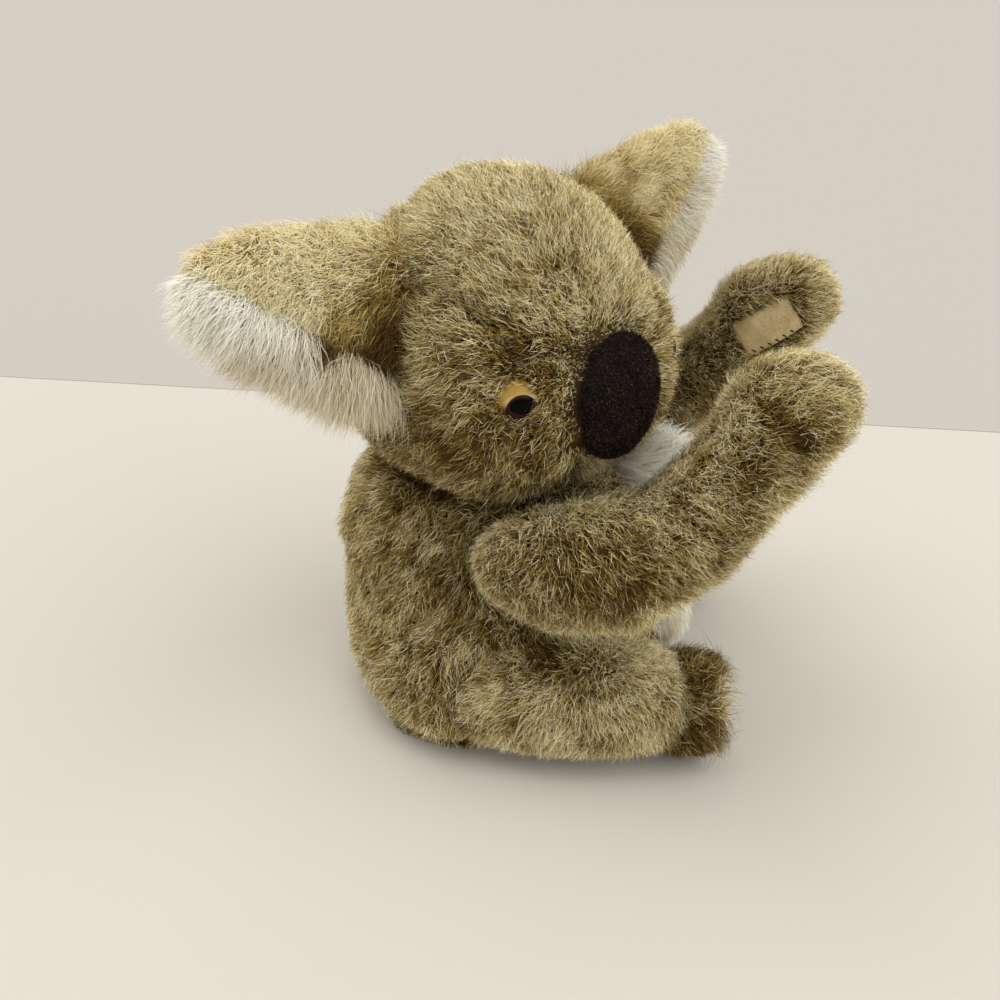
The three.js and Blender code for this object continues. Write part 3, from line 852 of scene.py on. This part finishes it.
headSizes = {
    "fill": 0.95, "seams": 1.4, "nap": (0.1, 0.1, -0.35), "chinNap": (-0.3, -1, -0.1),
    "tone": 0.38, "shade": 0.22, "chinTone": 0.9,
    "crownPaintedLight": 0.36, "crown": (144 * mm, 28 * mm, -0.2), "muzzleLight": (0.22, 12 * mm),
    "browDark": (0.3, 7 * mm), "face": (1.0, 60 * mm), "earRootShade": (0.35, 15 * mm), "earOut": 1.15,
    "atSeam": (-0.45, 2.5 * mm), "atNose": (0, 10 * mm, 0.3), "noseClear": 0.6 * mm, "noseSight": 9 * mm,
    "eyeClear": {right: 6.1 * mm, left: 4.1 * mm},
    "atEye": {right: (-0.5, 9 * mm), left: (0.0, 9 * mm)},
    # The pile above the left eye is longer and hides it from the right
    "hiderPlace": (-6 * mm, 0, 5 * mm), "hider": (1.1, 5 * mm),
}


def eyeAxis(side):
    # The stem ends farthest from its washer
    washer = pointsOf(meshOf("eye_washer_" + side)).mean(0)
    points = pointsOf(meshOf("eye_" + side))
    away = farFrom(points, washer)
    axis = unit(washer - points[away > eyeSizes["stemEnd"] * away.max()].mean(0))
    return points[(points @ axis).argmax()], axis


def makeHead():
    size = headSizes
    panels = ["head_side_right", "head_side_left", "head_gusset", "head_chin_panel"]
    nodes = panels + ["head_stuffing"]
    skin = joinedForm("head_skin", nodes)
    drawInSeams(skin, panels, size["seams"])
    backPanels(skin, panels)
    noseMiddle, out = midpoint("nose_cover"), size["earOut"]
    ears = [(midpoint("head_stuffing") + midpoint("ear_back_" + side) * out) / (1 + out)
            for side in (right, left)]
    eyes = {side: eyeAxis(side)[0] for side in (right, left)}
    noseTree = treeOf("nose_cover")

    def fromNose(points):
        return panelDistances(points, ["nose_cover"])[:, 0]

    def napAt(points, field):
        nap = unit(points - noseMiddle) + size["nap"]
        return np.where((field["panel"] == 3)[:, None], size["chinNap"], nap)

    def toneAt(points, field):
        toNose = fromNose(points)
        tone = paintedSideLightTone(field, size)
        tone -= spotShade(points, "head", "head_side_right", "head_gusset")
        # Painted light from above: the crown is painted lighter, and below the brow a little darker
        tone += size["crownPaintedLight"] * rise(points[:, 2], *size["crown"])
        tone += fade(toNose, *size["muzzleLight"])
        tone -= fade(toNose, *size["face"]) * fade(field["toSeam"], *size["browDark"])
        # Painted shade where the ears join the head
        for ear in ears:
            tone -= fade(farFrom(points, ear), *size["earRootShade"])
        return np.where(field["panel"] == 3, size["chinTone"], tone)

    def lengthAt(points, field):
        length = 1 + fade(field["toSeam"], *size["atSeam"])
        length *= rise(fromNose(points), *size["atNose"])
        for side, eye in eyes.items():
            length *= 1 + fade(farFrom(points, eye), *size["atEye"][side])
        hider = farFrom(points, eyes[left] + np.array(size["hiderPlace"]))
        return length * (1 + fade(hider, *size["hider"]))

    def keep(roots):
        kept = np.ones(len(roots["points"]), dtype=bool)
        for side, eye in eyes.items():
            kept &= farFrom(roots["points"], eye) > size["eyeClear"][side]
        for row, point in enumerate(roots["points"]):
            place, normal, _, _ = noseTree.find_nearest(point, size["noseSight"])
            kept[row] &= place is None or (Vector(point) - place).dot(normal) > size["noseClear"]
        return kept

    field = napField(skin, "head", panels, napAt, toneAt, lengthAt)
    growPile([grey("cheek_pile_right"), grey("cheek_pile_left"), grey("crown_pile"), grey("chin_pile")],
             field, pile, "head", 21, keep)
    dress(skin, nodes, "head")


# Nose

noseSizes = {
    "voxel": 1.2 * mm, "smoothing": 6, "fill": 1.0, "nap": (0, 0, -1), "tone": 0.34, "behind": -0.1,
}

nosePile = dict(pile, density=6 / mm ** 2, length=1.9 * mm, width=0.26 * mm, rootLift=72.0, tipLift=50.0,
                stray=0.9, droop=0.1, tuft=5, gather=0.5, speckle=0.5)


def steady(value):
    # The same value or direction all over a skin
    return lambda points, field: np.array(value, dtype=float)


def makeNose():
    nodes = ["nose_cover", "nose_padding"]
    skin = joinedForm("nose_skin", nodes, noseSizes["voxel"], noseSizes["smoothing"])
    skin.data.materials.append(finishes["noseBacking"])
    middle = midpoint("head_stuffing")

    def keep(roots):
        return (roots["normals"] * unit(roots["points"] - middle)).sum(1) > noseSizes["behind"]

    field = napField(skin, "head", ["nose_cover"], steady(noseSizes["nap"]), steady(noseSizes["tone"]),
                     steady(1.0))
    growPile([("nose_pile", "nose", "nose_plush")], field, nosePile, "head", 31, keep)
    dress(skin, nodes, "head")


# Eyes: a glossy dome on a stem, its pupil set low and towards the nose

eyeSizes = {
    "radius": 7.0 * mm, "dome": 3.8 * mm, "rim": 1.8 * mm, "stem": 2.25 * mm, "stemLength": 11.5 * mm,
    "stemEnd": 0.95, "segments": 48, "sharp": 40.0,
    "pupilDrop": 1.1 * mm, "pupilInward": 1.9 * mm, "pupil": 4.5 * mm, "pupilFlat": 1.7,
    "pupilEdge": 0.5 * mm,
    "ringDrop": 1.5 * mm, "ringOutward": 0.6 * mm, "ring": 5.1 * mm, "ringEdge": 0.6 * mm,
    "glowFrom": 4.4 * mm, "glowTo": 8.6 * mm, "clouding": 1.2 * mm, "lowTo": -3 * mm, "highFrom": 1.5 * mm,
}

eyeTones = {
    "pupil": (0.001, 0.001, 0.001), "ring": (0.03, 0.009, 0.005), "low": (0.09, 0.032, 0.01),
    "rim": (0.4, 0.25, 0.06), "glow": (0.93, 0.76, 0.4),
}


def eyeFinish(side, apex, axis):
    size, tones = eyeSizes, eyeTones
    material, shader, start = startFinish("eyePlastic_" + side, Roughness=0.14, Specular_IOR_Level=0.05)
    inward = unit(np.cross(axis, (0, 0, 1)) * (1 if side == left else -1))
    up = unit(np.cross(inward, axis) * (1 if side == left else -1))
    middle = apex - up * size["pupilDrop"] + inward * size["pupilInward"]
    place = start.place()

    def measured(way, origin):
        return place.dot(way) - float(np.dot(way, origin))

    def distance(origin, flat):
        aside, height = measured(inward, origin), measured(up, origin) * flat
        return start.sum("POWER", aside * aside + height * height, 0.5)

    away = distance(middle, size["pupilFlat"])
    # Painted shadow of the pupil: a dark ring set below it and outwards
    fromPupilShadow = distance(middle - up * size["ringDrop"] - inward * size["ringOutward"], 1.0)
    height = measured(up, apex)
    outward = away + place.grain(600.0, 3.0) * size["clouding"]
    outward = outward.between(size["glowFrom"], size["glowTo"])
    iris = start.mix(outward, tones["glow"], tones["rim"])
    # Painted shade: the iris is darker towards its lower part
    iris = start.mix(height.between(size["lowTo"], size["highFrom"]), tones["low"], iris)
    beyondPupilShadow = fromPupilShadow.between(size["ring"], size["ring"] + size["ringEdge"])
    beyondPupil = away.between(size["pupil"], size["pupil"] + size["pupilEdge"])
    ringed = start.mix(beyondPupilShadow, tones["ring"], iris)
    link(shader, "Base Color", start.mix(beyondPupil, tones["pupil"], ringed))
    return material


def makeEye(side):
    apex, axis = eyeAxis(side)
    dome, radius = eyeSizes["dome"], eyeSizes["radius"]
    ball = (radius ** 2 + dome ** 2) / (2 * dome)
    turn = Vector(axis).to_track_quat("Z", "Y")
    pickNone()
    bpy.ops.mesh.primitive_uv_sphere_add(segments=eyeSizes["segments"], ring_count=eyeSizes["segments"],
                                         radius=ball, location=tuple(apex - axis * ball),
                                         rotation=turn.to_euler())
    eye = bpy.context.active_object
    eye.name = "eye_dome_" + side
    bpy.ops.object.transform_apply(location=True, rotation=True, scale=True)
    bpy.ops.object.mode_set(mode="EDIT")
    bpy.ops.mesh.select_all(action="SELECT")
    bpy.ops.mesh.bisect(plane_co=tuple(apex - axis * dome), plane_no=tuple(axis), use_fill=True,
                        clear_inner=True)
    rim, stem = tuple(-axis * eyeSizes["rim"]), tuple(-axis * eyeSizes["stemLength"])
    bpy.ops.mesh.extrude_region_move(TRANSFORM_OT_translate={"value": rim})
    bpy.ops.mesh.inset(thickness=radius - eyeSizes["stem"])
    bpy.ops.mesh.extrude_region_move(TRANSFORM_OT_translate={"value": stem})
    bpy.ops.mesh.select_all(action="SELECT")
    bpy.ops.mesh.normals_make_consistent(inside=False)
    bpy.ops.object.mode_set(mode="OBJECT")
    bpy.ops.object.shade_smooth_by_angle(angle=math.radians(eyeSizes["sharp"]))
    eye.data.materials.append(eyeFinish(side, apex, axis))
    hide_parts("eye_" + side)
    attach(eye, "head")


# Ears: a grey back over a white lining with long pile

earSizes = {
    "voxel": 1.5 * mm, "smoothing": 6, "fill": 0.6, "seams": 0.5,
    "topLift": {right: 2.5 * mm, left: 6 * mm}, "topShare": 1.6,
    "overhang": (1.3, 12 * mm),  # the pile at the seam hangs down over the lining
    # The ears' own pale back, painted paler on the right ear as painted light
    "paleAndLit": {right: 1.14, left: 0.95}, "liningTone": 0.95,
    "rootShade": 0.35, "rootShading": (1.0, 30 * mm), "underTop": 14 * mm, "underReach": 22 * mm,
    "atSeam": (-0.25, 2.5 * mm), "atRoot": (0.6, 16 * mm),
    "brownEdge": (308, 360),  # how far the brown root comes over the right lining, in the picture
    "brownTone": 0.06,
    "liningLength": {right: 1.0, left: 0.62}, "liningRoot": 0.75, "liningTip": 0.14,
    "flowOut": (0.2, 0.9), "flowDown": (1.1, -0.6),  # of the lining's pile, at the root and more at the tip
}

backPile = dict(pile, length=9.5 * mm, rootLift=42.0, tipLift=14.0, droop=0.1, speckle=0.16)
liningPile = dict(pile, density=4.6 / mm ** 2, length=16.5 * mm, width=0.24 * mm, bends=3, rootLift=48.0,
                  tipLift=20.0, stray=0.3, curl=0.2, droop=0.35, tuft=9, gather=0.22, speckle=0.14)


def liftTop(skin, side):
    points = pointsOf(skin.data)
    middle = points[:, 2].mean()
    share = rise(points[:, 2], middle, (points[:, 2].max() - middle) / earSizes["topShare"])
    points[:, 2] += earSizes["topLift"][side] * share
    placePoints(skin.data, points)


def makeEar(side):
    size = earSizes
    back, lining = "ear_back_" + side, "ear_lining_" + side
    panels = [back, lining]
    skin = joinedForm("ear_skin_" + side, panels, size["voxel"], size["smoothing"])
    liftTop(skin, side)
    drawInSeams(skin, panels, size["seams"])
    backPanels(skin, panels, ["paleBacking", "whiteBacking"])
    points = pointsOf(skin.data)
    away = farFrom(points, midpoint("head_stuffing"))
    root, tip = points[away.argmin()], points[away.argmax()]
    outward = unit(tip - root)

    def along(points):
        return ((points - root) * outward).sum(-1)

    def napAt(points, field):
        over = fade(field["toSeam"], *size["overhang"])
        return outward - np.array((0, 0, 1)) * over[:, None]

    def toneAt(points, field):
        # Painted shade: the back is darker towards the root, more so on its lower side
        under = rise(-points[:, 2], -root[2] - size["underTop"], size["underReach"])
        dark = fade(along(points), *size["rootShading"]) * (size["rootShade"] + under)
        low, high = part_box(lining)
        # Painted shade: the lining is darker towards its bottom
        liningShadedBelow = size["liningTone"] * (points[:, 2] - low.z) / (high.z - low.z)
        return np.where(field["panel"] == 1, liningShadedBelow, size["paleAndLit"][side] - dark)

    def lengthAt(points, field):
        length = 1 + fade(field["toSeam"], *size["atSeam"])
        return length + fade(along(points), *size["atRoot"])

    field = napField(skin, "head", panels, napAt, toneAt, lengthAt)
    if side == right:
        edge = seenAt(size["brownEdge"], back, lining)
        brown = (along(points) < along(edge)) & (points[:, 2] > edge[2]) & (field["panel"] == 1)
        field["panels"][brown] = field["panels"][brown][:, ::-1]
        field["tone"][brown] = size["brownTone"]
    growPile([grey("ear_pile_" + side), None], field, backPile, "head", 41)
    share = rise(along(points), 0, along(tip))
    out, down = (start + more * share[:, None] for start, more in (size["flowOut"], size["flowDown"]))
    flow = outward * out + np.array((0, 0, -1)) * down
    length = field["length"] * np.clip(size["liningRoot"] + share, 0, 1) * (1 - size["liningTip"] * share)
    length *= size["liningLength"][side]
    liningField = dict(field, nap=flow + ripple(points, "lining"), length=length)
    growPile([None, white("ear_lining_pile_" + side)], liningField, liningPile, "head", 42)
    dress(skin, panels, "head")


# Arms, with a suede pad on each paw and a finger crease

armSizes = {
    "fill": 0.85, "nap": (0, 0, -0.4), "tone": 0.46, "shade": 0.6, "pawPaintedLight": 0.3, "reach": 110 * mm,
    "atSeam": (-0.3, 2 * mm), "innerShort": 0.3, "innerUp": 0.7,
    "crease": ((768, 412), (800, 445)),  # the ends of the finger crease, in the picture
    "atCrease": (-0.75, 1.7 * mm), "creaseShade": (1.0, 3.06 * mm),
    "heelOfPaw": {right: (770, 390), left: (750, 293)},  # where the paw is fuller, in the picture
    "heel": (7 * mm, 13 * mm), "heelWay": (0, 0.6, 0.8),
}

padSizes = {"voxel": 0.8 * mm, "smoothing": 5, "fill": 0.3, "swell": 0.5 * mm}

stitchSizes = {
    "count": 6, "spacing": 3.4 * mm, "length": 2.8 * mm, "width": 0.7 * mm, "inset": 1.8 * mm,
    "over": 3 * mm, "slant": (0.8, 0.6), "segments": 10, "rings": 8,
}


def toSegment(points, start, end):
    way = end - start
    share = np.clip(((points - start) @ way) / (way @ way), 0, 1)
    return farFrom(points, start + share[:, None] * way)


def fingerCrease(side):
    # Seen on the right paw, and mirrored on the left one
    ends = [seenAt(pixel, "arm_outer_right", "arm_inner_right") for pixel in armSizes["crease"]]
    if side == left:
        shift = midpoint("paw_pad_left") - midpoint("paw_pad_right") * mirrored
        ends = [end * mirrored + shift for end in ends]
    return ends


def fillPaw(skin, side):
    heel = seenAt(armSizes["heelOfPaw"][side], "arm_outer_" + side, "arm_inner_" + side)
    points = pointsOf(skin.data)
    lift = fade(farFrom(points, heel), *armSizes["heel"])
    placePoints(skin.data, points + unit(np.array(armSizes["heelWay"])) * lift[:, None])


def makeSuede(name, node, body, size):
    suede = joinedForm(name, [node], size["voxel"], size["smoothing"])
    suede.data.materials.append(finishes["suede"])
    if "swell" in size:
        applyModifier(suede, "DISPLACE", strength=size["swell"], mid_level=0.0)
    dress(suede, [node], body)
    return suede


def makeArm(side):
    size = armSizes
    outer, inner, stuffing = "arm_outer_" + side, "arm_inner_" + side, "arm_stuffing_" + side
    pad, body = "paw_pad_" + side, "arm_" + side
    panels, nodes = [outer, inner, pad], [outer, inner, stuffing]
    skin = joinedForm("arm_skin_" + side, nodes)
    fillPaw(skin, side)
    drawInSeams(skin, panels[:2])
    backPanels(skin, panels)
    shoulder = midpoint("shoulder_disc_outer_" + side)
    inward = unit(np.array((1.0 if side == right else -1.0, 0, size["innerUp"])))
    crease = fingerCrease(side)

    def napAt(points, field):
        return unit(points - shoulder) + size["nap"]

    def toneAt(points, field):
        reached = rise(farFrom(points, shoulder), 0, size["reach"])
        # Painted light: the arm is painted lighter towards its raised paw
        tone = paintedSideLightTone(field, size) + size["pawPaintedLight"] * reached
        tone -= spotShade(points, "arm", "arm_outer_right", "arm_inner_right")
        # Painted shade in the finger crease
        return tone - fade(toSegment(points, *crease), *size["creaseShade"])

    def lengthAt(points, field):
        length = 1 + fade(field["toSeam"], *size["atSeam"])
        length *= 1 - size["innerShort"] * np.clip(field["normals"] @ inward, 0, 1)
        return length * (1 + fade(toSegment(points, *crease), *size["atCrease"]))

    field = napField(skin, body, panels, napAt, toneAt, lengthAt)
    growPile([grey("arm_pile_outer_" + side), grey("arm_pile_inner_" + side), None], field, pile, body, 51)
    dress(skin, nodes, body)
    sewPad(side, makeSuede("paw_suede_" + side, pad, body, padSizes), body)


def sewPad(side, suede, body):
    size = stitchSizes
    points = pointsOf(suede.data)
    middle = points.mean(0)
    spread = np.linalg.svd(points - middle, full_matrices=False)[2]
    long, out = spread[0], spread[2]
    long *= 1 if long[2] > 0 else -1
    out *= 1 if out @ (midpoint("arm_inner_" + side) - midpoint("arm_outer_" + side)) > 0 else -1
    short = np.cross(out, long)
    short *= 1 if short[1] < 0 else -1
    faces = [tuple(face.vertices) for face in suede.data.polygons]
    tree = BVHTree.FromPolygons([tuple(point) for point in points], faces)
    edge = ((points - middle) @ short).max() - size["inset"]
    slant = Vector(short * size["slant"][0] + long * size["slant"][1]).to_track_quat("Z", "Y").to_euler()
    stitches = []
    for index in range(size["count"]):
        step = (index - (size["count"] - 1) / 2) * size["spacing"]
        place = tree.find_nearest(Vector(middle + short * edge + long * step + out * size["over"]))[0]
        pickNone()
        bpy.ops.mesh.primitive_uv_sphere_add(segments=size["segments"], ring_count=size["rings"],
                                             radius=size["width"] / 2, location=place)
        stitch = bpy.context.active_object
        stitch.rotation_euler = slant
        stitch.scale = (1, 1, size["length"] / size["width"])
        stitches.append(stitch)
    pick(*stitches)
    bpy.ops.object.join()
    bpy.ops.object.transform_apply(location=True, rotation=True, scale=True)
    thread = bpy.context.active_object
    thread.name = "paw_stitches_" + side
    thread.data.materials.clear()
    thread.data.materials.append(finishes["thread"])
    thread.data.shade_smooth()
    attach(thread, body)


# Legs and feet

legSizes = {
    "fill": 0.85, "seams": 0.6, "swirl": (60 * mm, -32 * mm, 46 * mm), "swirlReach": 26 * mm,
    "nap": (0, 0.3, -0.5), "tone": 0.82, "shade": 0.5, "onFloor": (4 * mm, 12 * mm, 0.45),
}

footSizes = {
    "fill": 0.85, "smoothing": 6, "heel": (0, 14 * mm, -4 * mm), "nap": (0, -0.5, 0.1),
    # The foot's pile has a low tone: painted shade, with the dark tips that its outward pile shows
    "tone": 0.16, "shade": 0.25, "onFloor": (2 * mm, 12 * mm, 0.3), "atSeam": (0.5, 4 * mm),
}

soleSizes = {"voxel": 1.2 * mm, "smoothing": 4, "fill": 0.4}

footPile = dict(pile, length=10.5 * mm, rootLift=52.0, tipLift=26.0, gather=0.6)


def makeLeg(side):
    size = legSizes
    body, panels = "leg_" + side, ["leg_outer_" + side, "leg_inner_" + side]
    nodes = panels + ["leg_stuffing_" + side]
    skin = joinedForm("leg_skin_" + side, nodes)
    drawInSeams(skin, panels, size["seams"])
    backPanels(skin, panels)
    swirl = np.array(size["swirl"]) * (1 if side == left else mirrored)

    def napAt(points, field):
        share = rise(farFrom(points, swirl), 0, size["swirlReach"])[:, None]
        return unit(points - swirl) * share + size["nap"]

    def toneAt(points, field):
        spots = spotShade(points, "leg", "leg_outer_right", "leg_inner_right", "body_side_right")
        return paintedSideLightTone(field, size) - spots

    def lengthAt(points, field):
        return rise(points[:, 2], *size["onFloor"])

    field = napField(skin, body, panels, napAt, toneAt, lengthAt)
    growPile([grey("leg_pile_outer_" + side), grey("leg_pile_inner_" + side)], field, pile, body, 61)
    dress(skin, nodes, body)


def makeFoot(side):
    size = footSizes
    cover, sole, body = "foot_cover_" + side, "foot_sole_" + side, "leg_" + side
    panels, nodes = [cover, sole], [cover, "foot_stuffing_" + side]
    skin = joinedForm("foot_skin_" + side, nodes, smoothing=size["smoothing"])
    backPanels(skin, panels)
    heel = midpoint(cover) + np.array(size["heel"])

    def napAt(points, field):
        return unit(points - heel) + size["nap"]

    def toneAt(points, field):
        return paintedSideLightTone(field, size)

    def lengthAt(points, field):
        return rise(points[:, 2], *size["onFloor"]) * (1 + fade(field["toSeam"], *size["atSeam"]))

    field = napField(skin, body, panels, napAt, toneAt, lengthAt)
    growPile([grey("foot_pile_" + side), None], field, footPile, body, 71)
    dress(skin, nodes, body)
    makeSuede("sole_suede_" + side, sole, body, soleSizes)


# The locking discs, nuts and washers inside

def finishHardware():
    for name, node in frame["nodes"].items():
        if "_disc_" in name:
            node.material_slots[0].material = finishes["fibreBoard"]
        elif "_nut" in name or "_washer" in name:
            node.material_slots[0].material = finishes["lockPlastic"]


makeTorso()
makeHead()
makeNose()
print("torso, head and nose are made")
for side in (right, left):
    makeEye(side)
    makeEar(side)
    makeArm(side)
    makeLeg(side)
    makeFoot(side)
    print("eye, ear, arm and leg are made on the", side)
finishHardware()
